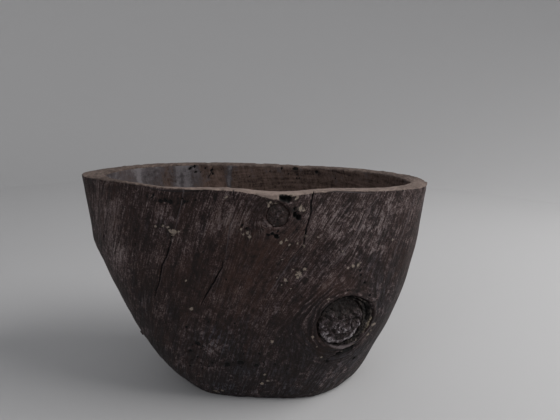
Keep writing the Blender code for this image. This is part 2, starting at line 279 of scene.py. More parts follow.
def ramp(value, start, end):
    """Smooth step from 0 at start to 1 at end, in either direction."""
    t = np.clip((value - start) / (end - start), 0, 1)
    return t * t * (3 - 2 * t)


# ---------------------------------------------------------------- curves and sections
def catmull_rom(p0, p1, p2, p3, t):
    return 0.5 * (2 * p1 + (p2 - p0) * t + (2 * p0 - 5 * p1 + 4 * p2 - p3) * t ** 2
                  + (3 * p1 - p0 - 3 * p2 + p3) * t ** 3)


def outline_radius(points, angles, steps=16):
    """Radius of a closed outline at each angle, in a box whose half sides are 1."""
    corners = np.array(points, float)
    spans = [np.roll(corners, k, 0)[:, None, :] for k in (1, 0, -1, -2)]
    t = (np.arange(steps) / steps)[None, :, None]
    curve = catmull_rom(*spans, t).reshape(-1, 2)
    low, high = curve.min(0), curve.max(0)
    unit = (curve - (low + high) / 2) / ((high - low) / 2)
    return np.interp(angles, np.arctan2(unit[:, 1], unit[:, 0]),
                     np.hypot(unit[:, 0], unit[:, 1]), period=2 * pi)


def rows_at(levels, positions):
    """Rows of a level table at positions counted in rows, smooth between the rows."""
    table = np.array(levels, float)
    last = len(table) - 1
    i = np.minimum(positions.astype(int), last - 1)
    spans = [table[np.clip(i + k, 0, last)] for k in (-1, 0, 1, 2)]
    return catmull_rom(*spans, (positions - i)[:, None])


def sections(low_radius, high_radius, shares, rows, heights, angles):
    """Rings of a loft between two outlines, (rings, columns, 3), in metres."""
    radius = low_radius + (high_radius - low_radius) * shares[:, None]
    left, right, front, back = (MM * rows[:, k, None] for k in (1, 2, 3, 4))
    x = (left + right) / 2 + (right - left) / 2 * radius * np.cos(angles)
    y = (front + back) / 2 + (back - front) / 2 * radius * np.sin(angles)
    z = np.broadcast_to(heights[:, None], x.shape)
    return np.stack([x, y, z], -1)


def evenly(make_rings, levels, step):
    """Rings spaced about one step apart along the wall."""
    trial = np.linspace(0, len(levels) - 1, 300)
    rings = make_rings(trial)
    length = np.linalg.norm(np.diff(rings, axis=0), axis=2).mean(1)
    along = np.concatenate([[0], np.cumsum(length)])
    count = int(along[-1] / step) + 1
    return make_rings(np.interp(np.linspace(0, along[-1], count), along, trial))


def column_angles():
    """Angles of the columns: closest together in front, where most detail is."""
    t = 2 * pi * np.arange(COLUMNS) / COLUMNS - pi
    return t - FRONT_DENSITY * np.cos(t) + END_DENSITY * np.sin(2 * t)


def swell(points):
    """The wall stands out a little round each knot and at the hip on its left end."""
    moved = points.copy()
    for knot, rise, reach in SWELLINGS + [HIP]:
        distance = np.linalg.norm(points - np.array(knot["centre"]), axis=-1)
        out = np.array(knot["axis"]) * (1, 1, 0)
        moved += (out / np.linalg.norm(out)) * (rise * np.exp(-(distance / reach) ** 2))[..., None]
    return moved


def outer_rings(angles):
    foot = outline_radius(FOOT_OUTLINE, angles)
    rim = outline_radius(RIM_OUTLINE, angles)

    def make(positions):
        rows = rows_at(LEVELS, positions)
        heights = rows[:, 0] * (HEIGHT - LIP_DROP)
        return swell(sections(foot, rim, rows[:, 0], rows, heights, angles))

    return evenly(make, LEVELS, OUTER_STEP)


def cavity_rings(angles):
    mouth = outline_radius(MOUTH_OUTLINE, angles)
    lowest = CAVITY_LEVELS[-1][0]

    def make(positions):
        rows = rows_at(CAVITY_LEVELS, positions)
        shares = (rows[:, 0] - lowest) / (1 - lowest)
        heights = rows[:, 0] * (HEIGHT - 1.6 * LIP_DROP)
        return sections(np.ones(COLUMNS), mouth, shares, rows, heights, angles)

    return evenly(make, CAVITY_LEVELS, CAVITY_STEP)


def lip_rings(outer, mouth, count=14):
    """Rings over the worn lip: tight round its outer edge, easy round the inner one."""
    across = np.linspace(0, 1, count + 2)[1:-1]
    across = across - 0.10 * np.sin(2 * pi * across)
    drop_out = np.clip(1 - across / 0.16, 0, 1) ** 2.2 * LIP_DROP
    drop_in = np.clip((across - 0.62) / 0.38, 0, 1) ** 2.4 * 1.6 * LIP_DROP
    rings = outer + (mouth - outer) * across[:, None, None]
    rings[..., 2] = (HEIGHT - drop_out - drop_in)[:, None]
    return rings


def shrunk_rings(edge, shares, heights):
    """Rings inside an edge, from shares of its reach, at the heights given."""
    middle = edge.mean(0)
    rings = middle + (edge - middle) * shares[:, None, None]
    rings[..., 2] = heights[:, None]
    return rings


# ---------------------------------------------------------------- the bowl's base form
UNDERSIDE, WALL, LIP, CAVITY, FLOOR = range(5)
FEW_COLUMNS = [(0.03, 64), (0.06, 32), (0.12, 16), (0.22, 8), (0.40, 4), (0.75, 2)]


def middle_shares():
    """Reach of the rings of the underside and the cavity's floor, from the middle out."""
    return np.concatenate([[0.02, 0.035, 0.055, 0.08, 0.11, 0.15, 0.20],
                           np.arange(0.25, 0.96, 0.03), [0.97, 0.985]])


def bowl_rings():
    """Rings of points from the middle of the underside, over the rim, to the middle of
    the cavity's floor, with what part each ring belongs to and how many of the columns
    it keeps."""
    angles = column_angles()
    outer, cavity = outer_rings(angles), cavity_rings(angles)
    shares = middle_shares()
    under = shrunk_rings(outer[0], shares, 0.6 * MM * (1 - shares ** 6))
    edge_height = cavity[-1][0, 2]
    floor = shrunk_rings(cavity[-1], shares[::-1],
                         FLOOR_THICKNESS + (edge_height - FLOOR_THICKNESS) * shares[::-1] ** 2.2)
    blocks = [under, outer, lip_rings(outer[-1], cavity[0]), cavity, floor]
    parts = np.repeat(range(5), [len(block) for block in blocks])
    every = np.ones(len(parts), int)
    for reach, skip in reversed(FEW_COLUMNS):
        every[:len(under)][shares < reach] = skip
        every[-len(floor):][shares[::-1] < reach] = skip
    return np.concatenate(blocks), parts, every


def ring_faces(counts):
    """Faces between rings. A ring has as many points as the last, half or twice."""
    faces = [np.arange(counts[0])[None, ::-1]]
    start = 0
    for n, m in zip(counts, counts[1:]):
        low, high = start + np.arange(n), start + n + np.arange(m)
        next_low, next_high = np.roll(low, -1), np.roll(high, -1)
        if m == n:
            faces.append(np.stack([low, next_low, next_high, high], 1))
        elif m < n:
            first, middle, last = low[::2], low[1::2], np.roll(low[::2], -1)
            faces += [np.stack([first, middle, high], 1),
                      np.stack([middle, next_high, high], 1),
                      np.stack([middle, last, next_high], 1)]
        else:
            first, middle, last = high[::2], high[1::2], np.roll(high[::2], -1)
            faces += [np.stack([low, middle, first], 1),
                      np.stack([low, next_low, middle], 1),
                      np.stack([next_low, last, middle], 1)]
        start += n
    faces.append(start + np.arange(counts[-1])[None, :])
    return faces


def ring_lengths(rings):
    """Distance round each ring from its front middle and from its back middle, with the
    middle's own X added, and the share of the way from front to back."""
    step = np.linalg.norm(np.roll(rings, -1, 1) - rings, axis=2)
    around = np.cumsum(step, 1) - step
    total = step.sum(1)[:, None]
    angles = column_angles()
    lengths = []
    for angle, sign in ((-pi / 2, 1), (pi / 2, -1)):
        middle = np.argmin(abs(angles - angle))
        length = (around - around[:, middle, None] + total / 2) % total - total / 2
        lengths.append(length + sign * rings[:, middle, None, 0])
        if sign > 0:
            share = abs(length) / (total / 2)
    return lengths[0], lengths[1], share


def column_lengths(rings, parts):
    """Height along the surface from the foot, the same on both faces of the wall."""
    step = np.linalg.norm(np.diff(rings, axis=0), axis=2)
    along = np.concatenate([np.zeros((1, rings.shape[1])), np.cumsum(step, 0)])
    along -= along[parts == WALL][0]
    mouth = along[parts == CAVITY][0]
    inside = (parts >= CAVITY)[:, None]
    return np.where(inside, 2 * mouth - along, along)


def new_object(name, vertices, faces, material, node):
    """A mesh object that stands for a CAD node, rides on the root and has a finish."""
    mesh = bpy.data.meshes.new(name)
    mesh.from_pydata(vertices, [], [face for group in faces for face in group.tolist()])
    mesh.shade_smooth()
    mesh.materials.append(material)
    piece = bpy.data.objects.new(name, mesh)
    bpy.context.scene.collection.objects.link(piece)
    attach(piece, "root")
    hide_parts(node)
    return piece


def set_attribute(mesh, name, values):
    """Store one number or one vector for each vertex, for the material to read."""
    kind, key = ("FLOAT", "value") if values.ndim == 1 else ("FLOAT_VECTOR", "vector")
    layer = mesh.attributes.new(name, kind, "POINT")
    layer.data.foreach_set(key, np.ascontiguousarray(values, np.float32).ravel())


def normals_of(vertices, faces):
    """Unit normals at the vertices of a mesh."""
    mesh = bpy.data.meshes.new("trial")
    mesh.from_pydata(vertices, [], [face for group in faces for face in group.tolist()])
    normals = np.empty(len(mesh.vertices) * 3, np.float32)
    mesh.vertex_normals.foreach_get("vector", normals)
    bpy.data.meshes.remove(mesh)
    return normals.reshape(-1, 3).astype(float)


# ---------------------------------------------------------------- knots
def knot_frame(knot):
    """Middle of a knot, and its directions: to its right, up it, and out of the wood."""
    out = np.array(knot["axis"]) / np.linalg.norm(knot["axis"])
    side = np.cross((0, 0, 1), out)
    side /= np.linalg.norm(side)
    return np.array(knot["centre"]), side, np.cross(out, side), out


def knot_places(knot, points):
    """Points in a knot's own directions: right, up and out, from its middle."""
    centre, *directions = knot_frame(knot)
    return [(points - centre) @ direction for direction in directions]


def irregular(angle, seed, amount=0.035, dent=0.0):
    """A closed outline's wandering, as a factor on its radius, less a dent upper right."""
    from_dent = np.angle(np.exp(1j * (angle - DENT_ANGLE))) / DENT_REACH
    return (1 + amount * rough_noise(1.7 * np.cos(angle), 1.7 * np.sin(angle), seed=seed)
            - dent * np.exp(-from_dent ** 2))


def oval_radius(right, up, half_width, half_length, shift=0.0, seed=1, dent=0.0):
    """Distance from an oval's middle, as a share of its irregular edge."""
    angle = np.arctan2(up / half_length, (right - shift) / half_width)
    edge = irregular(angle, seed, dent=dent)
    return np.hypot((right - shift) / half_width, up / half_length) / edge


# ---------------------------------------------------------------- features on the wall
class Surface:
    """The bowl's vertices: where they are, what part they are on, and their place in the
    charts of the unrolled wall."""

    def __init__(self):
        rings, parts, every = bowl_rings()
        front, back, share = ring_lengths(rings)
        height = column_lengths(rings, parts)
        picks = [np.arange(0, COLUMNS, skip) for skip in every]

        def flat(values):
            return np.concatenate([values[i, pick] for i, pick in enumerate(picks)])

        self.points = flat(rings)
        self.parts = np.repeat(parts, [len(pick) for pick in picks])
        self.around = {"front": flat(front), "back": flat(back), "inside": flat(back)}
        self.share, self.height = flat(share), flat(height)
        self.top = flat(np.broadcast_to(height[parts == WALL][-1], height.shape))
        self.mouth = flat(np.broadcast_to(height[parts == CAVITY][0], height.shape))
        self.faces = ring_faces([len(pick) for pick in picks])
        self.normals = normals_of(self.points, self.faces)
        ahead = self.points[:, 1] < 0
        outside = self.parts == WALL
        self.pools = {"front": outside & ahead, "back": outside & ~ahead,
                      "inside": (self.parts == CAVITY) & ~ahead}
        self.reach = {"front": (self.parts == WALL) | (self.parts == LIP),
                      "back": (self.parts == WALL) | (self.parts == LIP),
                      "inside": self.parts >= CAVITY}

    def place(self, side, x, z):
        """Chart place of the point of a side at X and Z in millimetres. A Z above the
        rim runs on over the lip."""
        pool = np.flatnonzero(self.pools[side])
        apart = np.hypot(self.points[pool, 0] - x * MM, self.points[pool, 2] - z * MM)
        nearest = pool[np.argmin(apart)]
        over = max(0.0, z * MM - HEIGHT) * OVER_LIP
        return np.array([self.around[side][nearest], self.height[nearest] + over])

    def near(self, side, low, high, margin):
        """Vertices of a side inside a box of its chart, with a margin round it."""
        around, height = self.around[side], self.height
        return np.flatnonzero(self.reach[side]
                              & (around > low[0] - margin) & (around < high[0] + margin)
                              & (height > low[1] - margin) & (height < high[1] + margin))


def crack_distance(surface):
    """For each vertex, its signed distance from the nearest crack in half widths, and the
    depth of that crack."""
    signed = np.full(len(surface.points), CRACK_FAR)
    depths = np.zeros(len(surface.points))
    for number, (side, half_width, depth, corners) in enumerate(CRACKS):
        line = np.array([surface.place(side, x, z) for x, z in corners])
        near = surface.near(side, line.min(0), line.max(0), CRACK_MARGIN)
        height = surface.height[near]
        wander = MM * (0.9 * noise(height / 0.012, seed=number)
                       + 0.3 * noise(height / 0.003, seed=number + 50))
        here = np.stack([surface.around[side][near] + wander, height], 1)
        lengths = np.linalg.norm(np.diff(line, axis=0), axis=1)
        done = 0.0
        nearest = np.full(len(near), np.inf)
        for start, end, length in zip(line, line[1:], lengths):
            along = (end - start) / length
            offset = here - start
            place = np.clip(offset @ along, 0, length)
            gap = offset - place[:, None] * along
            distance = np.linalg.norm(gap, axis=1)
            side_of = np.sign(offset[:, 0] * along[1] - offset[:, 1] * along[0])
            done_here = done + place
            ends = np.minimum(done_here, lengths.sum() - done_here) / CRACK_TAPER
            open_at_rim = corners[0][1] > HEIGHT / MM
            if open_at_rim:
                ends = (lengths.sum() - done_here) / CRACK_TAPER
            taper = 0.25 + 0.75 * np.clip(ends, 0, 1)
            value = side_of * distance / (half_width * MM * taper)
            closer = abs(value) < abs(nearest)
            nearest = np.where(closer, value, nearest)
            done += length
        better = abs(nearest) < abs(signed[near])
        signed[near[better]] = nearest[better]
        depths[near[better]] = depth * MM
    return np.clip(signed, -CRACK_FAR, CRACK_FAR), depths


def spots(surface, table, seed):
    """How far inside the nearest round spot each vertex is: 1 at its middle, 0 at its
    edge. Rows are side, X, Z, radius and, for holes, depth, which is returned too."""
    inside = np.full(len(surface.points), -1.0)
    depths = np.zeros(len(surface.points))
    for number, (side, x, z, radius, *depth) in enumerate(table):
        centre = surface.place(side, x, z)
        near = surface.near(side, centre, centre, 3 * radius * MM)
        right = surface.around[side][near] - centre[0]
        up = surface.height[near] - centre[1]
        wander = 1 + 0.45 * noise(right / (radius * MM), up / (radius * MM), seed=seed + number)
        value = 1 - np.hypot(right, up) / (radius * MM) * wander
        better = value > inside[near]
        inside[near[better]] = value[better]
        if depth:
            depths[near[better]] = depth[0] * MM
    return inside, depths


def scattered_holes():
    """Small holes in loose clusters, the same ones each time."""
    rng = np.random.default_rng(11)
    rows = []
    for side, x, z, wide, tall, count in HOLE_CLUSTERS:
        for _ in range(count):
            radius = rng.uniform(0.55, 1.25)
            rows.append((side, x + wide * rng.normal(), z + tall * rng.normal(), radius,
                         0.9 * radius))
    return rows


def zone_amounts(surface):
    """Sum of the soft patches on the front, partly wood tone and partly painted light and shade."""
    x, z = surface.points[:, 0] / MM, surface.points[:, 2] / MM
    amounts = np.zeros((3, len(x)))
    for cx, cz, wide, tall, *strengths in ZONES:
        patch = np.exp(-((x - cx) / wide) ** 2 - ((z - cz) / tall) ** 2)
        amounts += np.outer(strengths, patch)
    return amounts


def grain_chart(surface, side):
    """Place across and along the grain: the chart sheared by the grain's lean and bent
    round the knots."""
    around, height = surface.around[side].copy(), surface.height.copy()
    lean = np.interp(around, LEAN_PLACES, LEAN_FRONT) if side == "front" else LEAN_BACK
    across = around - lean * (height - LEAN_PIVOT)
    shift_across, shift_along = np.zeros(len(across)), np.zeros(len(across))
    for knot, reach in GRAIN_KNOTS if side == "front" else []:
        centre, *_ = knot_frame(knot)
        place = surface.place("front", *(centre[[0, 2]] / MM))
        slope = np.interp(place[0], LEAN_PLACES, LEAN_FRONT)
        up = height - place[1]
        right = (around - place[0]) - slope * up
        pull = reach ** 2 / np.maximum(np.hypot(right, up), reach) ** 2
        shift_across -= right * pull
        shift_along += up * pull
    return across + shift_across, height + shift_along


# ---------------------------------------------------------------- relief
def hewn(u, v, seed):
    """The outside: broad flats left by the axe, and the raised grain."""
    return MM * (0.75 * noise(u / 0.046, v / 0.062, seed=seed)
                 + 0.45 * noise(u / 0.021, v / 0.115, seed=seed + 1)
                 + 0.24 * noise(u / 0.0075, v / 0.060, seed=seed + 2)
                 + 0.20 * noise(u / 0.0034, v / 0.034, seed=seed + 3))


def gouged(u, v, seed):
    """The inside: long shallow gouge marks."""
    return MM * (0.55 * noise(u / 0.034, v / 0.045, seed=seed)
                 + 0.40 * noise(u / 0.010, v / 0.080, seed=seed + 1)
                 + 0.12 * noise(u / 0.0045, v / 0.030, seed=seed + 2))


def blocks_between(x, y, seed):
    """Cracks between blocks: 0 on them, towards 1 in the middle of a block."""
    cell_x, cell_y = np.floor(x).astype(np.int64), np.floor(y).astype(np.int64)
    nearest = np.full(x.shape, 9.0)
    second = np.full(x.shape, 9.0)
    for dx, dy in np.ndindex(3, 3):
        cx, cy = cell_x + dx - 1, cell_y + dy - 1
        px = cx + 0.5 + 0.45 * lattice(cx, cy, 0 * cx, seed)
        py = cy + 0.5 + 0.45 * lattice(cx, cy, 0 * cx, seed + 1)
        distance = np.hypot(x - px, y - py)
        second = np.minimum(second, np.maximum(nearest, distance))
        nearest = np.minimum(nearest, distance)
    return second - nearest


surface = Surface()
points, parts = surface.points, surface.parts
outside = parts == WALL
inside = parts >= CAVITY
back_weight = ramp(surface.share, 0.52, 0.66)
grain = {side: grain_chart(surface, side) for side in ("front", "back")}


def in_grain(texture, seed):
    """Relief that follows the grain all round, with no seam."""
    return ((1 - back_weight) * texture(*grain["front"], seed)
            + back_weight * texture(*grain["back"], seed + 20))


below_edge = surface.top - surface.height
below_mouth = surface.mouth - surface.height
lip_weight = np.where(parts == LIP, 1.0, 0.0)
bared = np.exp(-((points[:, 0] - 0.022) / 0.014) ** 2) * (points[:, 1] < 0)
lip_weight = np.where(outside, ramp(below_edge, (0.4 + 7.0 * bared) * MM, -0.3 * MM), lip_weight)
lip_weight = np.where(inside, ramp(below_mouth, 0.9 * MM, 0.1 * MM), lip_weight)
rough_x, rough_y = points[:, 0] / 0.004, points[:, 1] / 0.004

cracks, crack_depths = crack_distance(surface)
pits, pit_depths = spots(surface, HOLES + scattered_holes(), 100)
flecks, _ = spots(surface, [("front", x, z, FLECK_SPREAD * radius)
                            for x, z, radius in FLECKS], 300)

relief = np.where(outside, in_grain(hewn, 10), 0.0)
relief = np.where(inside, in_grain(gouged, 60), relief)
relief = np.where(parts == UNDERSIDE, 0.25 * MM * rough_noise(rough_x / 3, rough_y / 3), relief)
relief += lip_weight * 0.22 * MM * rough_noise(rough_x, rough_y, seed=7)

right, up, out = knot_places(MAIN_KNOT, points)
bark_share = oval_radius(right, up, MAIN_BARK["width"] / 2, MAIN_BARK["length"] / 2,
                         MAIN_BARK["shift"], dent=BARK_DENT)
by_main_knot = outside & (abs(out) < MAIN_KNOT_REACH) & (points[:, 1] < 0)
bark_share = np.where(by_main_knot, bark_share, NO_KNOT)
turn = np.arctan2(up, right)
swept = ramp(np.cos(turn - 3.8), -0.3, 0.5)      # left of the knot and under it
swirl = ramp(bark_share, 2.1, 1.3) * (0.30 + 0.70 * swept)
ring = 6.6 * bark_share + 1.1 * noise(1.8 * bark_share, 1.3 * np.cos(turn),
                                      1.3 * np.sin(turn), seed=5)
ridges = np.sin(2 * pi * ring) * (0.75 + 0.6 * noise(2 * ring, 3 * np.cos(turn),
                                                     3 * np.sin(turn), seed=6))
relief += swirl * MM * (0.42 * ridges + 0.3)
relief += 0.8 * MM * np.exp(-((bark_share - 1.07) / 0.06) ** 2)

right, up, out = knot_places(RIM_KNOT, points)
rim_share = oval_radius(right, up, RIM_KNOT["width"] / 2, RIM_KNOT["length"] / 2, seed=3)
rim_share = np.where(outside & (abs(out) < RIM_KNOT_REACH), rim_share, NO_KNOT)
relief += 0.6 * MM * np.exp(-((rim_share - 1.22) / 0.14) ** 2)

edge = np.exp(-(below_edge / (3.2 * MM)) ** 2)
around_rim = {side: surface.around[side] for side in ("front", "back")}
chips = sum(weight * ramp(noise(around_rim[side] / 0.013, seed=31)
                          + 0.6 * noise(around_rim[side] / 0.0042, seed=32), 0.25, 0.85)
            for side, weight in (("front", 1 - back_weight), ("back", back_weight)))
relief -= 1.3 * MM * chips * edge * (outside | (parts == LIP))

# What the knots sit on, before anything is cut into it.
wall = points + surface.normals * relief[:, None]
wall_faces = [tuple(face) for group in surface.faces for face in group.tolist()
              if outside[face[0]] and points[face[0], 1] < 0.02]
WALL_TREE = BVHTree.FromPolygons([Vector(p) for p in wall], wall_faces)

grooves = np.clip(1 - abs(cracks), 0, 1) ** 0.8 * crack_depths
relief -= grooves + ramp(pits, 0.0, 0.7) * pit_depths
wall = points + surface.normals * relief[:, None]
wall -= knot_frame(MAIN_KNOT)[3] * (RECESS_DEPTH * ramp(bark_share, 1.03, 0.97))[:, None]
wall -= knot_frame(RIM_KNOT)[3] * (RIM_RECESS_DEPTH * ramp(rim_share, 1.01, 0.94))[:, None]

# The rim isn't level.
near_rim = np.where(inside, ramp(below_mouth, RIM_FADE, 0.0), ramp(below_edge, RIM_FADE, 0.0))
wall[:, 2] += near_rim * RIM_WAVE * noise(points[:, 0] / 0.06, points[:, 1] / 0.06, seed=8)
rise_places, rises = np.array(RIM_RISE).T * MM
rise = np.interp(points[:, 0], rise_places, rises) * ramp(points[:, 1], 0.0, -0.020)
wall[:, 2] = np.maximum(wall[:, 2] + near_rim * rise, 0.0)


# ---------------------------------------------------------------- materials
class Shader:
    """Builds one node material. Each method adds a node and returns its output."""

    def __init__(self, name):
        self.material = bpy.data.materials.new(name)
        self.material.use_nodes = True
        self.tree = self.material.node_tree
        self.surface = self.tree.nodes["Principled BSDF"]

    def feed(self, socket, value):
        if isinstance(value, bpy.types.NodeSocket):
            self.tree.links.new(value, socket)
        else:
            socket.default_value = value

    def add(self, kind, inputs, **settings):
        node = self.tree.nodes.new("ShaderNode" + kind)
        for name, value in settings.items():
            setattr(node, name, value)
        for key, value in inputs.items():
            self.feed(node.inputs[key], value)
        return node

    def number(self, name):
        return self.add("Attribute", {}, attribute_name=name).outputs["Fac"]

    def vector(self, name):
        return self.add("Attribute", {}, attribute_name=name).outputs["Vector"]

    def here(self):
        return self.add("TexCoord", {}).outputs["Object"]

    def math(self, operation, *values):
        return self.add("Math", dict(enumerate(values)), operation=operation).outputs[0]

    def total(self, *terms):
        """Sum of numbers and of (output, factor) pairs."""
        result = terms[0]
        for output, factor in terms[1:]:
            result = self.math("MULTIPLY_ADD", output, factor, result)
        return result

    def stretched(self, vector, scale):
        return self.add("VectorMath", {0: vector, 1: scale}, operation="MULTIPLY").outputs[0]

    def noise(self, vector, scale, detail=3.0, roughness=0.55, distortion=0.0):
        """Noise about 0, from roughly -0.5 to 0.5, with cells of 1/scale metres."""
        scale = scale if isinstance(scale, tuple) else (scale,) * 3
        node = self.add("TexNoise", {"Vector": self.stretched(vector, scale), "Scale": 1.0,
                                     "Detail": detail, "Roughness": roughness,
                                     "Distortion": distortion})
        return self.math("SUBTRACT", node.outputs[0], 0.5)

    def step(self, value, low, high):
        node = self.add("MapRange", {"Value": value, "From Min": low, "From Max": high},
                        interpolation_type="SMOOTHSTEP")
        return node.outputs["Result"]

    def line(self, value, width):
        """1 where a value passes 0, fading out over the width on either side."""
        return self.step(self.math("ABSOLUTE", value), width, 0.0)

    def blend(self, factor, first, second):
        node = self.add("Mix", {0: factor, 2: first, 3: second}, data_type="FLOAT")
        return node.outputs[0]

    def colour(self, factor, first, second, how="MIX"):
        node = self.add("Mix", {0: factor, 6: first, 7: second}, data_type="RGBA",
                        blend_type=how)
        return node.outputs[2]

    def ramp(self, value, stops):
        node = self.add("ValToRGB", {"Fac": value})
        band = node.color_ramp
        for (place, colour), item in zip(stops, [*band.elements] + [None] * len(stops)):
            item = item or band.elements.new(place)
            item.position, item.color = place, colour
        return node.outputs["Color"]

    def finish(self, colour, roughness, heights, specular):
        """Connect the material. Heights are (height in metres, strength) pairs."""
        self.feed(self.surface.inputs["Base Color"], colour)
        self.feed(self.surface.inputs["Roughness"], roughness)
        self.surface.inputs["Specular IOR Level"].default_value = specular
        normal = None
        for height, strength in heights:
            inputs = {"Height": height, "Distance": 1.0, "Strength": strength}
            if normal:
                inputs["Normal"] = normal
            normal = self.add("Bump", inputs).outputs["Normal"]
        self.feed(self.surface.inputs["Normal"], normal)
        return self.material


def rgb(red, green, blue):
    return (red, green, blue, 1.0)


BLACK = rgb(0.0035, 0.003, 0.003)
DARK, MIDDLE = rgb(0.0085, 0.0044, 0.0039), rgb(0.0305, 0.0165, 0.0148)
LIGHT, BARE = rgb(0.104, 0.073, 0.072), rgb(0.25, 0.205, 0.195)
PALE_LINE = rgb(0.108, 0.088, 0.091)
RED_BROWN, SHEEN_GREY_BLUE = rgb(0.046, 0.021, 0.0145), rgb(0.056, 0.055, 0.070)
BEIGE, DUST_AND_SHEEN, PALE_DUST_AND_SHEEN = rgb(0.31, 0.255, 0.185), rgb(0.066, 0.060, 0.067), rgb(0.20, 0.185, 0.195)
LIP_DARK, LIP_LIGHT = rgb(0.062, 0.043, 0.036), rgb(0.285, 0.220, 0.190)
INSIDE_DARK, INSIDE_LIGHT = rgb(0.018, 0.0095, 0.0070), rgb(0.165, 0.110, 0.090)


def bowl_material():
    """Weathered hardwood: streaks along the grain, cracks and rot holes painted black inside as
    shade, pale crumbs, a bare lip, a painted grey-blue sheen low on the front, and a smoother
    inside, grey towards its left end with dust and painted sheen."""
    wood = Shader("weathered_wood")
    front, back = wood.vector("grain_front"), wood.vector("grain_back")
    behind, here = wood.number("behind"), wood.here()

    def streaks(across, along, detail=3.0, roughness=0.55, distortion=0.0):
        """Noise drawn out along the grain, all round the bowl."""
        scale = (across, along, 1.0)
        return wood.blend(behind, wood.noise(front, scale, detail, roughness, distortion),
                          wood.noise(back, scale, detail, roughness, distortion))

    broad, band = streaks(45.0, 7.0), streaks(150.0, 22.0, 4.0, 0.65)
    grain_line, fine = streaks(480.0, 50.0, 4.0, 0.75), streaks(900.0, 75.0, 2.0, 0.7)
    hair = streaks(240.0, 16.0, 3.0, 0.7, 0.15)
    patches, clumps = wood.noise(here, 17.0, 3.0), wood.noise(here, 62.0, 5.0, 0.7)
    mottle, grit = wood.noise(here, 220.0, 5.0, 0.7), wood.noise(here, 800.0, 3.0, 0.7)
    light, warm, cool_and_sheen = (wood.number(name) for name in ("light", "warm", "cool_and_sheen"))

    ringed = wood.noise(wood.vector("round_knot"), (480.0, 40.0, 40.0), 4.0, 0.72)
    grain_line = wood.blend(wood.number("knot_rings"), grain_line, ringed)
    lined = wood.math("MULTIPLY", grain_line, wood.step(light, -0.5, 0.9))
    tone = wood.total(0.385, (broad, 0.50), (band, 0.75), (grain_line, 0.80), (lined, 1.65),
                      (fine, 1.35), (patches, 0.75), (clumps, 0.70), (mottle, 1.35),
                      (grit, 1.5), (light, 0.30))
    hue = wood.total(0.0, (wood.noise(here, 24.0, 4.0, 0.65), 1.0), (band, 0.5))
    warm = wood.total(warm, (wood.step(hue, 0.0, 0.25), 0.55))
    cool_and_sheen = wood.total(cool_and_sheen, (wood.step(hue, 0.0, -0.25), 0.55))
    tone = wood.total(tone, (wood.math("MULTIPLY", cool_and_sheen, mottle), 2.6),
                      (wood.math("MULTIPLY", cool_and_sheen, clumps), 2.2))
    colour = wood.ramp(tone, [(0.16, DARK), (0.46, MIDDLE), (0.74, LIGHT), (0.98, BARE)])
    reddish = wood.math("MULTIPLY", warm, wood.step(wood.total(band, (mottle, 1.0)), -0.25, 0.2))
    colour = wood.colour(wood.math("MULTIPLY", reddish, 0.62), colour, RED_BROWN)
    # Painted sheen: a grey-blue reflection laid over the grain, strongest where the cool mask is
    # high and low on the front.
    sheen = wood.step(wood.total(grain_line, (mottle, 0.8), (fine, 0.5)), -0.06, 0.26)
    colour = wood.colour(wood.math("MULTIPLY", cool_and_sheen, wood.math("MULTIPLY", sheen, 0.85)),
                         colour, SHEEN_GREY_BLUE)

    # Thin scratches: pale where the wood is light; elsewhere only a shallow groove in the relief.
    scratch = wood.line(hair, 0.012)
    pale = wood.step(wood.total(patches, (light, 0.30), (mottle, 0.5)), 0.02, 0.22)
    colour = wood.colour(wood.math("MULTIPLY", scratch, wood.math("MULTIPLY", pale, 0.55)),
                         colour, BARE)
    # Painted shade: fine checks along the grain, black inside.
    check = wood.line(streaks(95.0, 5.0, 3.0, 0.7), 0.006)
    checks = wood.math("MULTIPLY", check, wood.step(broad, 0.0, 0.14))
    colour = wood.colour(wood.math("MULTIPLY", checks, 0.8), colour, BLACK)

    # The inside, smoother; grey towards its left end, partly dust and partly painted sheen where
    # that wall catches the light.
    within = wood.number("inside")
    scraped = wood.blend(wood.number("scraped"), streaks(30.0, 4.0, 4.0),
                         streaks(14.0, 210.0, 5.0, 0.7))
    inner_tone = wood.total(0.50, (scraped, 1.3), (clumps, 1.0), (grain_line, 0.60),
                            (mottle, 1.0), (grit, 0.5))
    inner = wood.ramp(inner_tone, [(0.18, INSIDE_DARK), (0.80, INSIDE_LIGHT)])
    dust_and_sheen = wood.total(wood.number("dust_and_sheen"), (streaks(90.0, 5.0, 4.0), 1.1), (mottle, 1.5),
                      (clumps, 1.1))
    inner = wood.colour(wood.math("MULTIPLY", wood.step(dust_and_sheen, 0.15, 0.55), 0.80), inner, DUST_AND_SHEEN)
    inner = wood.colour(wood.math("MULTIPLY", wood.step(dust_and_sheen, 0.50, 1.15), 0.75), inner,
                        PALE_DUST_AND_SHEEN)
    colour = wood.colour(within, colour, inner)

    # The bare lip, ends of the fibres showing; darker in its chipped places.
    lip = wood.number("lip")
    rings = wood.noise(wood.vector("rings"), (520.0, 26.0, 1.0), 4.0, 0.65)
    lip_tone = wood.total(0.52, (rings, 0.8), (mottle, 0.9), (clumps, 0.6), (grit, 0.4),
                          (wood.number("lip_light"), 0.6))
    bare = wood.ramp(lip_tone, [(0.12, LIP_DARK), (0.80, LIP_LIGHT)])
    lip_edge = wood.step(wood.total(lip, (mottle, 0.7), (grit, 0.3)), 0.35, 0.65)
    colour = wood.colour(lip_edge, colour, bare)

    # Underside: darker.
    under = wood.number("under")
    colour = wood.colour(wood.math("MULTIPLY", under, 0.35), colour, DARK)
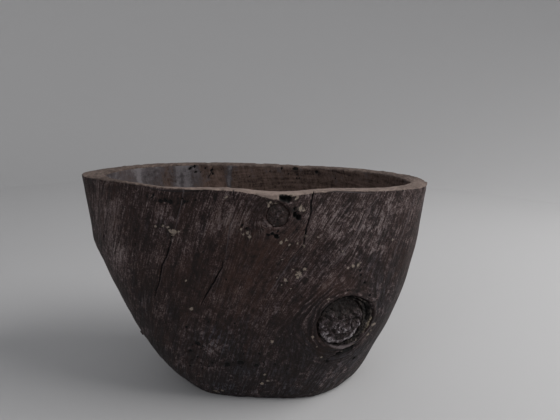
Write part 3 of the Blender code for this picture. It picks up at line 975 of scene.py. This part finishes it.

    # Residue, holes and cracks; holes and cracks painted black inside as shade, one side of each
    # crack painted light as highlight.
    crumbs = wood.step(wood.total(wood.number("fleck"), (mottle, 2.2), (grit, 1.1)), 0.20, 0.60)
    crumb_colour = wood.colour(wood.step(grit, -0.2, 0.2), BARE, BEIGE)
    crack, crack_dark = wood.number("crack"), wood.number("crack_dark")
    near = wood.number("crack_near")
    wobble = wood.total(crack, (mottle, 0.9), (grit, 0.6))
    groove = wood.math("MULTIPLY", near, wood.step(wood.math("ABSOLUTE", wobble), 1.05, 0.45))
    # Painted highlight: a pale line down one side of each crack, where its wall catches the light.
    lit_crack_shoulder = wood.math("MULTIPLY", near, wood.line(wood.math("ADD", wobble, 1.8), 0.9))
    colour = wood.colour(wood.math("MULTIPLY", lit_crack_shoulder, wood.step(grit, -0.35, 0.25)),
                         colour, LIGHT)
    # Painted shade: the deeper cracks are black inside; the shallow ones are a pale line.
    line_colour = wood.colour(crack_dark, PALE_LINE, BLACK)
    colour = wood.colour(wood.math("MULTIPLY", groove, wood.step(mottle, -0.36, -0.1)),
                         colour, line_colour)
    # Painted shade: the holes are black inside.
    pit = wood.step(wood.total(wood.number("pit"), (mottle, 0.7), (grit, 0.4)), -0.02, 0.22)
    colour = wood.colour(pit, colour, BLACK)
    colour = wood.colour(wood.math("MULTIPLY", crumbs, 0.9), colour, crumb_colour)
    # Painted shade: small borer holes, black inside.
    cells = wood.add("TexVoronoi", {"Vector": wood.stretched(front, (75.0, 45.0, 1.0)),
                                    "Scale": 1.0})
    borer = wood.step(wood.total(cells.outputs["Distance"], (grit, 0.08)), 0.075, 0.045)
    some = wood.step(cells.outputs["Color"], 0.62, 0.66)
    borers = wood.math("MULTIPLY", wood.math("MULTIPLY", borer, some),
                       wood.math("SUBTRACT", 1.0, lip))
    colour = wood.colour(wood.math("MULTIPLY", borers, 0.9), colour, BLACK)

    # Fine relief, in metres.
    depth = wood.total(0.0, (grain_line, 0.00055), (fine, 0.00020), (mottle, 0.00045),
                       (grit, 0.00016), (band, 0.0006), (groove, -0.0009), (pit, -0.0012),
                       (checks, -0.0004), (scratch, -0.00012), (crumbs, 0.0003),
                       (borers, -0.0006))
    smooth = wood.math("SUBTRACT", 1.0, wood.math("MULTIPLY", within, 0.45))
    roughness = wood.total(0.66, (mottle, 0.35), (grain_line, -0.35), (lip, 0.12))
    return wood.finish(colour, roughness, [(wood.math("MULTIPLY", depth, smooth), 0.9)], 0.26)


# ---------------------------------------------------------------- the bowl
bowl = new_object("bowl", wall, surface.faces, bowl_material(), "bowl_body")
# Sets the inside and the underside apart from the wall in the noises.
apart = 5.0 * inside + 2.0 * (parts == UNDERSIDE)
for side, name in (("front", "grain_front"), ("back", "grain_back")):
    across, along = grain[side]
    set_attribute(bowl.data, name, np.stack([across, along, apart], 1))
light, warm, cool_and_sheen = zone_amounts(surface) * (outside & (points[:, 1] < 0))
# Share towards the bottom of the wall, which faces down: painted darker and less warm there as
# shade, and given more painted sheen.
low = ramp(points[:, 2], 0.13, 0.03)
pith = np.hypot(points[:, 0] - 0.02, points[:, 1] * 1.25 - 0.01)
x, y, z = points.T
wandering = x + 0.010 * rough_noise(y / 0.030, z / 0.030, seed=91)
# Grey over the inner wall's left end, with pale streaks down it: partly dust, partly painted sheen
# where that wall catches the light.
dust_and_sheen = (ramp(wandering, -0.050, -0.085) * ramp(z, 0.02, 0.10) * 0.50
        + ramp(z, 0.19, 0.21) * 0.12 - 0.25 * np.exp(-((x + 0.107) / 0.010) ** 2))
for place, width, amount in ((-0.131, 0.003, 0.40), (-0.094, 0.003, 0.55),
                             (-0.084, 0.005, 0.40), (-0.036, 0.0025, 0.75)):
    streak = np.exp(-((x + 0.0025 * noise(z / 0.022, y / 0.05, seed=92) - place) / width) ** 2)
    dust_and_sheen += amount * streak * ramp(z, 0.09, 0.17) * (0.75 + 0.5 * noise(z / 0.012, seed=93))
radial = np.arctan2(points[:, 1], points[:, 0]) * 0.5
ahead = ramp(y, 0.020, -0.020)
lip_light = (-0.50 * (1 - ahead) + ahead * (-0.55 * np.exp(-((x + 0.125) / 0.045) ** 2)
                                            + 0.38 * np.exp(-((x - 0.025) / 0.030) ** 2)
                                            - 0.08 * ramp(x, 0.120, 0.150)))
# Ring grain swept round the main knot, lighter on its raised ridges and darker between them: partly
# the grain's own tone, partly painted highlight and shade on that relief.
light += (2.2 * ridges - 1.1) * swirl * (bark_share > 1)
for name, values in (
        ("behind", back_weight), ("lip", lip_weight), ("inside", 1.0 * inside),
        ("under", 1.0 * (parts == UNDERSIDE)), ("crack", cracks),
        ("crack_near", ramp(abs(cracks), 5.0, 3.0)),
        ("crack_dark", ramp(crack_depths, 0.8 * MM, 1.4 * MM)), ("pit", pits),
        # Painted shade: darker and less warm towards the bottom of the wall.
        ("fleck", flecks), ("light", light - 0.85 * low), ("warm", warm + 0.15 * (1 - low)),
        ("knot_rings", swept * ramp(bark_share, 2.0, 1.35)
         + (1 - swept) * ramp(bark_share, 1.4, 1.15)),
        ("round_knot", np.stack([0.03 * bark_share, 0.03 * np.cos(turn),
                                 0.03 * np.sin(turn)], 1)),
        # Painted sheen: more grey-blue towards the bottom of the wall.
        ("cool_and_sheen", cool_and_sheen + 0.45 * low), ("dust_and_sheen", dust_and_sheen), ("lip_light", lip_light),
        ("scraped", ramp(points[:, 0], -0.070, -0.020)),
        ("rings", np.stack([pith, radial, points[:, 2]], 1))):
    set_attribute(bowl.data, name, values)


# ---------------------------------------------------------------- the knots
RAY_START, RAY_LENGTH = 0.03, 0.08    # above a knot's middle, towards the wall
NO_WALL = -0.004          # height given where there is no wall to meet


def wall_heights(knot, right, up):
    """Height of the uncut wall above a knot's middle, out along the knot."""
    centre, side, upward, outward = knot_frame(knot)
    start = centre + right[..., None] * side + up[..., None] * upward + RAY_START * outward
    heights = []
    for point in start.reshape(-1, 3):
        hit = WALL_TREE.ray_cast(Vector(point), Vector(-outward), RAY_LENGTH)
        heights.append(RAY_START - hit[3] if hit[0] else NO_WALL)
    return np.array(heights).reshape(right.shape)


def knot_points(knot, right, up, out):
    centre, side, upward, outward = knot_frame(knot)
    places = right[..., None] * side + up[..., None] * upward + out[..., None] * outward
    return (centre + places).reshape(-1, 3)


def stub(name, node, material, knot, seed, depth, face, brown, sides=180, circles=50):
    """The end of a dead branch: an irregular oval plug with a worked face. The face
    function gives heights above the wall and how pale, from places on it in metres."""
    angle = 2 * pi * np.arange(sides) / sides
    edge = irregular(angle, seed, dent=CORE_DENT if knot is MAIN_KNOT else 0.0)
    edge_right = knot["width"] / 2 * np.cos(angle) * edge
    edge_up = knot["length"] / 2 * np.sin(angle) * edge
    low = [(0.05, -depth), (0.4, -depth), (0.74, -depth), (0.80, -depth * 0.96),
           (0.85, -depth * 0.7), (0.91, -depth * 0.45)]
    shares = np.concatenate([[share for share, _ in low], np.linspace(0.985, 0.02, circles)])
    right, up = shares[:, None] * edge_right, shares[:, None] * edge_up
    heights, pale = face(right, up, np.broadcast_to(shares[:, None], right.shape),
                         np.broadcast_to(angle, right.shape))
    worn = 0.12 * depth * ramp(shares, 0.90, 1.0)[:, None]
    out = wall_heights(knot, right, up) + heights - worn
    out[:len(low)] = np.array([height for _, height in low])[:, None]
    piece = new_object(name, knot_points(knot, right, up, out),
                       ring_faces([sides] * len(shares)), material, node)
    set_attribute(piece.data, "place", np.stack([right, up, heights], -1).reshape(-1, 3))
    set_attribute(piece.data, "pale", pale.ravel())
    set_attribute(piece.data, "brown", np.full(pale.size, brown))


def radial_cracks(angle, share, count, seed):
    """Cracks spreading from a knot's middle: 1 on a crack."""
    turn = rough_noise(count * np.cos(angle), count * np.sin(angle), 1.4 * share, seed)
    return ramp(abs(turn), 0.10, 0.0) * ramp(share, 0.08, 0.35)


def main_face(right, up, share, angle):
    """Top third rotted hollow, a cracked boss under it, and a small eye on the right."""
    x, y = right / 0.0034, up / 0.0034
    blocks = blocks_between(x + 0.5 * noise(x, y, seed=41), y + 0.5 * noise(y, x, seed=42), 43)
    ring = np.hypot(right - 0.001, up + 0.004)
    growth = noise(ring / 0.0024, 1.5 * np.cos(angle), seed=44)
    lumps = rough_noise(right / 0.0042, up / 0.0042, seed=45)
    hollow = ramp(up + 0.003 * noise(right / 0.006, seed=46) - 0.10 * right, 0.0045, 0.0125)
    boss = np.exp(-((right + 0.001) / 0.013) ** 2 - ((up + 0.009) / 0.011) ** 2)
    eye = np.hypot(right - 0.0145, up + 0.0045) * irregular(np.arctan2(up, right), 9, 0.1)
    eye_ring = ramp(eye, 0.0044, 0.0035)
    eye_groove = np.exp(-((eye - 0.0052) / 0.0008) ** 2)
    cracks_here = radial_cracks(angle, share, 2.6, 47)
    splits = ramp(blocks, 0.16, 0.0) * ramp(lumps, -0.5, 0.2)
    heights = MM * (-0.1 + 1.2 * lumps + 1.4 * boss + 0.55 * growth - 3.0 * hollow
                    + 1.3 * eye_ring - 1.8 * eye_groove
                    - 1.2 * cracks_here - 1.0 * splits)
    # How pale the face is painted: darker in the rotted hollow, the eye's groove, the splits and the
    # cracks, as painted shade; lighter on the fragments along the lower edge, partly bare wood and
    # partly painted highlight.
    rim_bits = np.exp(-((share - 0.86) / 0.10) ** 2) * ramp(up, 0.004, -0.010)
    pale = (0.16 + 0.30 * boss + 0.95 * rim_bits + 0.25 * eye_ring - 0.9 * eye_groove
            + 0.60 * lumps + 0.20 * growth - 0.75 * hollow - 0.8 * splits - 0.8 * cracks_here)
    return heights, pale


def rim_face(right, up, share, angle):
    """Nearly flush, with its growth rings and a few radial cracks."""
    ring = np.hypot(right + 0.001, up + 0.001)
    growth = noise(ring / 0.0013, 1.2 * np.cos(angle), seed=51)
    lumps = rough_noise(right / 0.0032, up / 0.0032, seed=52)
    cracks_here = radial_cracks(angle, share, 1.8, 53)
    heights = MM * (-0.5 + 0.7 * lumps + 0.25 * growth - 0.9 * cracks_here
                    - 0.8 * ramp(up, 0.004, 0.010))
    # Painted shade: darker in its cracks.
    return heights, 0.22 + 0.3 * lumps + 0.3 * growth - 0.6 * cracks_here


def pin_face(right, up, share, angle):
    """A twig's broken end, standing a little proud."""
    lumps = rough_noise(right / 0.0012, up / 0.0012, seed=61)
    heights = MM * (1.5 * ramp(share, 1.0, 0.55) + 0.25 * lumps - 0.35 * ramp(share, 0.3, 0.0))
    return heights, 0.4 * lumps - 0.4 * ramp(share, 0.3, 0.0)


def knot_material():
    """Dead heartwood: nearly black, its high fragments bare and grey, with painted shade black in
    the cracks between its blocks.
    """
    wood = Shader("knot_wood")
    place, pale = wood.vector("place"), wood.number("pale")
    lumps, grit = wood.noise(place, 260.0, 5.0, 0.7), wood.noise(place, 1500.0, 3.0, 0.7)
    tone = wood.total(0.33, (pale, 0.55), (lumps, 1.2), (grit, 1.1))
    colour = wood.ramp(tone, [(0.16, BLACK), (0.40, DARK), (0.58, rgb(0.052, 0.037, 0.042)),
                              (0.80, rgb(0.155, 0.128, 0.142)), (0.98, rgb(0.55, 0.51, 0.53))])
    brown = wood.math("MULTIPLY", wood.number("brown"), wood.step(lumps, -0.3, 0.15))
    colour = wood.colour(wood.math("MULTIPLY", brown, 0.8), colour, RED_BROWN)
    # Painted shade: black in the cracks between the blocks.
    cells = wood.add("TexVoronoi", {"Vector": place, "Scale": 420.0},
                     feature="DISTANCE_TO_EDGE")
    gaps = wood.step(wood.total(cells.outputs["Distance"], (grit, 0.12)), 0.10, 0.0)
    colour = wood.colour(wood.math("MULTIPLY", gaps, 0.8), colour, BLACK)
    depth = wood.total(0.0, (lumps, 0.0012), (grit, 0.0003), (gaps, -0.0004))
    roughness = wood.total(0.58, (lumps, 0.35), (pale, 0.08))
    return wood.finish(colour, roughness, [(depth, 0.9)], 0.42)


def bark_material():
    """Crumbling bark: brown-grey flakes with painted shade black in the cracks, beige crumbs."""
    bark = Shader("bark")
    place, pale = bark.vector("place"), bark.number("pale")
    flakes, grit = bark.noise(place, 210.0, 5.0, 0.7, 0.4), bark.noise(place, 1300.0, 3.0, 0.7)
    tone = bark.total(0.46, (pale, 0.5), (flakes, 1.0), (grit, 0.7))
    colour = bark.ramp(tone, [(0.22, BLACK), (0.50, rgb(0.019, 0.0145, 0.013)),
                              (0.72, rgb(0.060, 0.048, 0.042)), (0.95, rgb(0.18, 0.15, 0.125))])
    crumbs = bark.step(bark.total(pale, (flakes, 1.2), (grit, 0.8)), 0.72, 0.98)
    colour = bark.colour(crumbs, colour, BEIGE)
    # Painted shade: black in the cracks between the flakes.
    cells = bark.add("TexVoronoi", {"Vector": place, "Scale": 330.0},
                     feature="DISTANCE_TO_EDGE")
    gaps = bark.step(bark.total(cells.outputs["Distance"], (grit, 0.15)), 0.13, 0.0)
    colour = bark.colour(bark.math("MULTIPLY", gaps, 0.85), colour, BLACK)
    depth = bark.total(0.0, (flakes, 0.0014), (grit, 0.0003), (gaps, -0.0005))
    roughness = bark.total(0.78, (flakes, 0.3))
    return bark.finish(colour, roughness, [(depth, 0.9)], 0.28)


def bark_collar(sides=240):
    """The collar between knot and wood: a closed ring, thickest on the knot's right."""
    angle = 2 * pi * np.arange(sides) / sides
    inner = irregular(angle, 2, dent=CORE_DENT) * 1.02
    outer = irregular(angle, 1, dent=BARK_DENT) * 0.975
    inner_right = MAIN_KNOT["width"] / 2 * np.cos(angle) * inner
    inner_up = MAIN_KNOT["length"] / 2 * np.sin(angle) * inner
    outer_right = MAIN_BARK["shift"] + MAIN_BARK["width"] / 2 * np.cos(angle) * outer
    outer_up = MAIN_BARK["length"] / 2 * np.sin(angle) * outer
    rows = [(0.8, -1.0), (0.97, -0.9), (1.0, -0.6)]
    rows += [(share, 0.0) for share in np.linspace(1.0, 0.0, 30)]
    rows += [(0.0, -0.6), (0.03, -0.9), (0.2, -1.0)]
    share, sunk = np.array(rows).T[:, :, None]
    right = inner_right + (outer_right - inner_right) * share
    up = inner_up + (outer_up - inner_up) * share
    x, y = right / 0.0036, up / 0.0036
    blocks = blocks_between(x + 0.6 * noise(x, y, seed=71), y + 0.6 * noise(y, x, seed=72), 73)
    lumps = rough_noise(right / 0.0042, up / 0.0042, seed=74)
    rounded = ramp(share, 0.0, 0.10) * ramp(share, 1.0, 0.93)
    splits = ramp(blocks, 0.20, 0.0)
    crescent = np.exp(-((share - 0.86) / 0.10) ** 2) * ramp(np.cos(angle), 0.1, 0.9)
    gap = np.exp(-((share - 0.45) / 0.16) ** 2) * ramp(np.cos(angle - 0.65), 0.45, 0.85)
    heights = MM * (-0.2 + 1.2 * lumps - 1.4 * splits + 0.8 * crescent - 2.6 * gap
                    - 0.8 * (1 - rounded)) * np.ones_like(right)
    out = wall_heights(MAIN_KNOT, right, up) + heights + sunk * RECESS_DEPTH * 0.85
    below = np.arange(len(rows))[:, None] * sides + np.arange(sides)
    above = np.roll(below, -1, 0)
    faces = np.stack([below, np.roll(below, -1, 1), np.roll(above, -1, 1), above], -1)
    beige = np.exp(-((angle - 2 * pi + 0.35) / 0.30) ** 2) * ramp(share, 0.45, 0.8)
    # Painted shade: darker in the splits and in the sunk gap on the knot's right.
    pale = 0.15 + 0.45 * lumps - 0.7 * splits + 0.45 * crescent - 0.9 * gap + 0.55 * beige
    piece = new_object("knot_bark", knot_points(MAIN_KNOT, right, up, out),
                       [faces.reshape(-1, 4)], bark_material(), "main_knot_bark")
    set_attribute(piece.data, "place", np.stack([right, up, heights], -1).reshape(-1, 3))
    set_attribute(piece.data, "pale", (pale * np.ones_like(right)).ravel())


knot_wood = knot_material()
stub("knot_large", "main_knot_core", knot_wood, MAIN_KNOT, 2, 0.0095, main_face,
     0.45)
bark_collar()
stub("knot_under_rim", "rim_knot_core", knot_wood, RIM_KNOT, 3, 0.0065, rim_face,
     0.85, sides=120, circles=30)
stub("knot_pin", "pin_knot", knot_wood, PIN_KNOT, 4, 0.0045, pin_face,
     0.5, sides=56, circles=16)


# ---------------------------------------------------------------- stage, light and camera
PALE = rgb(0.52, 0.52, 0.525)


def stage_piece(name, vertices, faces, colour, roughness):
    mesh = bpy.data.meshes.new(name)
    mesh.from_pydata(vertices, [], faces)
    mesh.shade_smooth()
    plain = bpy.data.materials.new(name)
    plain.use_nodes = True
    surface_node = plain.node_tree.nodes["Principled BSDF"]
    surface_node.inputs["Base Color"].default_value = colour
    surface_node.inputs["Roughness"].default_value = roughness
    mesh.materials.append(plain)
    piece = bpy.data.objects.new(name, mesh)
    bpy.context.scene.collection.objects.link(piece)


FLOOR_REACH, COVE, BACKDROP_HEIGHT, STAGE_SIDES = 1.3, 1.2, 3.4, 96
FLOOR_LEVEL = -0.2 * MM   # just clear of the bowl's foot
turns = [2 * pi * i / STAGE_SIDES for i in range(STAGE_SIDES)]
floor_ring = [(FLOOR_REACH * cos(a), FLOOR_REACH * sin(a), FLOOR_LEVEL) for a in turns]
stage_piece("floor", floor_ring, [tuple(range(STAGE_SIDES))], PALE, 0.7)
profile = [(FLOOR_REACH + COVE * sin(a), COVE * (1 - cos(a)))
           for a in (radians(5 * i) for i in range(19))] + [(FLOOR_REACH + COVE, BACKDROP_HEIGHT)]
stage_piece("backdrop", [(r * cos(a), r * sin(a), z) for r, z in profile for a in turns],
            [(k * STAGE_SIDES + i, (k + 1) * STAGE_SIDES + i,
              (k + 1) * STAGE_SIDES + (i + 1) % STAGE_SIDES, k * STAGE_SIDES + (i + 1) % STAGE_SIDES)
             for k in range(len(profile) - 1) for i in range(STAGE_SIDES)], PALE, 0.9)


def area_light(name, location, target, size, power, colour):
    light = bpy.data.lights.new(name, "AREA")
    light.shape, light.size, light.energy, light.color = "DISK", size, power, colour
    lamp = bpy.data.objects.new(name, light)
    lamp.location = location
    away = Vector(target) - Vector(location)
    lamp.rotation_euler = away.to_track_quat("-Z", "Y").to_euler()
    bpy.context.scene.collection.objects.link(lamp)


area_light("window", (1.45, -0.15, 1.45), (0, 0, 0.10), 1.3, 30.0, (1.0, 0.985, 0.97))
area_light("room", (-0.9, -1.6, 1.5), (0, 0, 0.08), 1.8, 6.0, (0.95, 0.96, 1.0))
scene = bpy.context.scene
scene.world = bpy.data.worlds.new("studio")
scene.world.use_nodes = True
sky = scene.world.node_tree.nodes["Background"].inputs
sky["Color"].default_value, sky["Strength"].default_value = rgb(0.97, 0.98, 1.0), 0.42
scene.view_settings.view_transform = "Standard"

# The camera stands in front of the bowl, tipped down and a little rolled.
CAMERA_PLACE, CAMERA_DOWN, CAMERA_ROLL = (0.0247, -0.4245, 0.288), radians(14.0), radians(1.5)
CAMERA_LENS, SENSOR_WIDTH = 27.06, 36.0
camera = bpy.data.objects.new("camera", bpy.data.cameras.new("camera"))
camera.data.lens, camera.data.sensor_width = CAMERA_LENS, SENSOR_WIDTH
camera.data.clip_start = 0.01
camera.matrix_world = (Matrix.Translation(CAMERA_PLACE)
                       @ Matrix.Rotation(radians(90) - CAMERA_DOWN, 4, "X")
                       @ Matrix.Rotation(CAMERA_ROLL, 4, "Z"))
scene.collection.objects.link(camera)
scene.camera = camera
